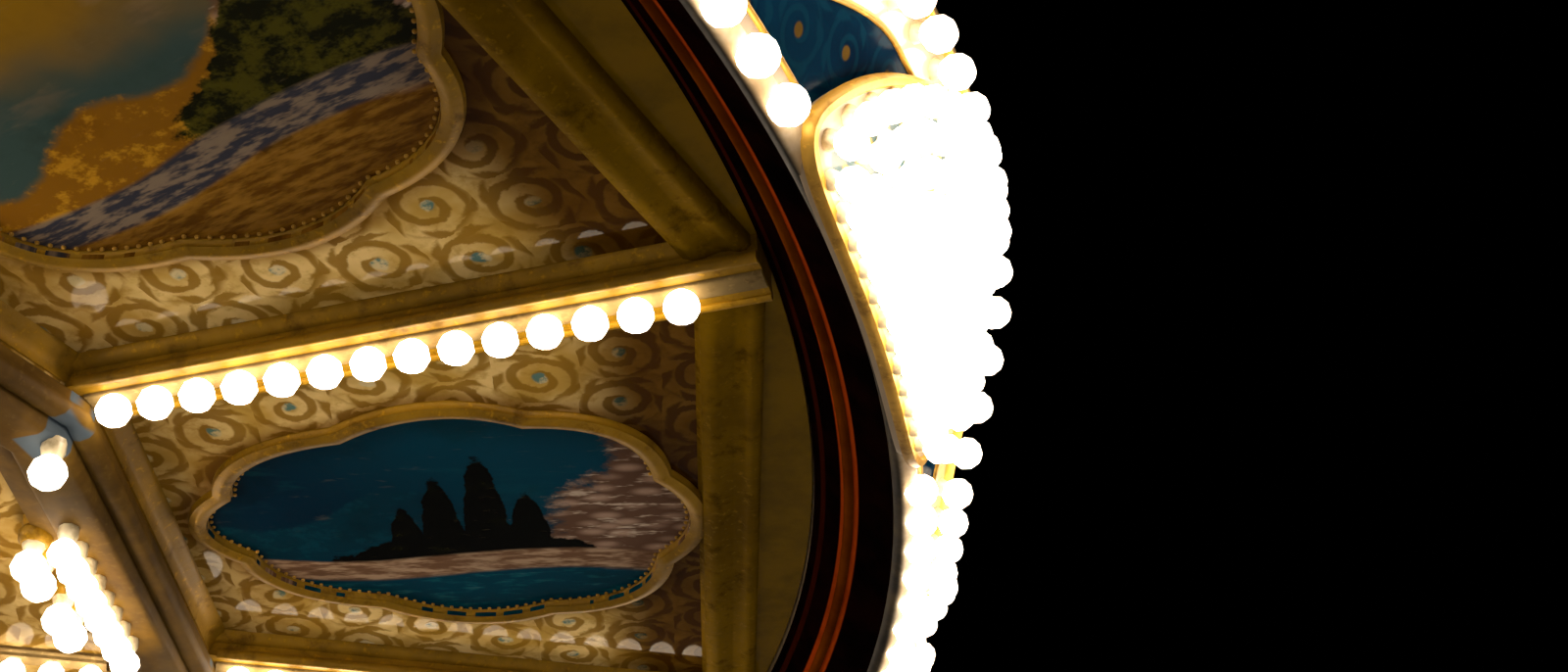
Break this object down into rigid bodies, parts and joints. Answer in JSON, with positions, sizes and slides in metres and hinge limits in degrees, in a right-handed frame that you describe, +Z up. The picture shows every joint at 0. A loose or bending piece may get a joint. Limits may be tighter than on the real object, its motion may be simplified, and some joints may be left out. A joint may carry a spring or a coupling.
{
  "type": "carousel canopy",
  "caption": "Turning canopy of a fairground carousel on its centre mast: lamp-lined sweeps, painted ceiling panels and leaning rounding boards under a bell-shaped roof.",
  "frame": {"origin": "on the ground, at the middle of the mast, under the centre of the canopy", "axes": "+Z up along the mast and the axis the canopy turns on, +X along one sweep, +Y a quarter turn anticlockwise from it seen from above"},
  "size_m": [9.8196, 9.8196, 7.35],
  "materials": {
    "gilding": "aged gold paint over wood, satin",
    "panel_paint": "varnished decorative painting",
    "board_paint": "varnished blue paint with gold edges",
    "inner_paint": "varnished decorative painting",
    "roof_paint": "painted glass-fibre panels, satin",
    "steel_paint": "dark red enamel"
  },
  "bodies": {
    "stand": {"ground_frame": "steel_paint", "mast": "steel_paint"},
    "canopy": {"hub": "gilding", "sweep_01": "gilding", "sweep_02": "gilding", "sweep_03": "gilding", "sweep_04": "gilding", "sweep_05": "gilding", "sweep_06": "gilding", "sweep_07": "gilding", "sweep_08": "gilding", "sweep_09": "gilding", "sweep_10": "gilding", "sweep_11": "gilding", "sweep_12": "gilding", "ceiling_panel_01": "panel_paint", "ceiling_panel_02": "panel_paint", "ceiling_panel_03": "panel_paint", "ceiling_panel_04": "panel_paint", "ceiling_panel_05": "panel_paint", "ceiling_panel_06": "panel_paint", "ceiling_panel_07": "panel_paint", "ceiling_panel_08": "panel_paint", "ceiling_panel_09": "panel_paint", "ceiling_panel_10": "panel_paint", "ceiling_panel_11": "panel_paint", "ceiling_panel_12": "panel_paint", "rounding_board_01": "board_paint", "rounding_board_02": "board_paint", "rounding_board_03": "board_paint", "rounding_board_04": "board_paint", "rounding_board_05": "board_paint", "rounding_board_06": "board_paint", "rounding_board_07": "board_paint", "rounding_board_08": "board_paint", "rounding_board_09": "board_paint", "rounding_board_10": "board_paint", "rounding_board_11": "board_paint", "rounding_board_12": "board_paint", "inner_ceiling_01": "inner_paint", "inner_ceiling_02": "inner_paint", "inner_ceiling_03": "inner_paint", "inner_ceiling_04": "inner_paint", "roof": "roof_paint", "finial": "gilding"}
  },
  "joints": [
    {"name": "canopy_spin", "type": "hinge", "parent": "stand", "child": "canopy", "pos_m": [0, 0, 4.15], "axis": [0, 0, 1], "continuous": true}
  ]
}
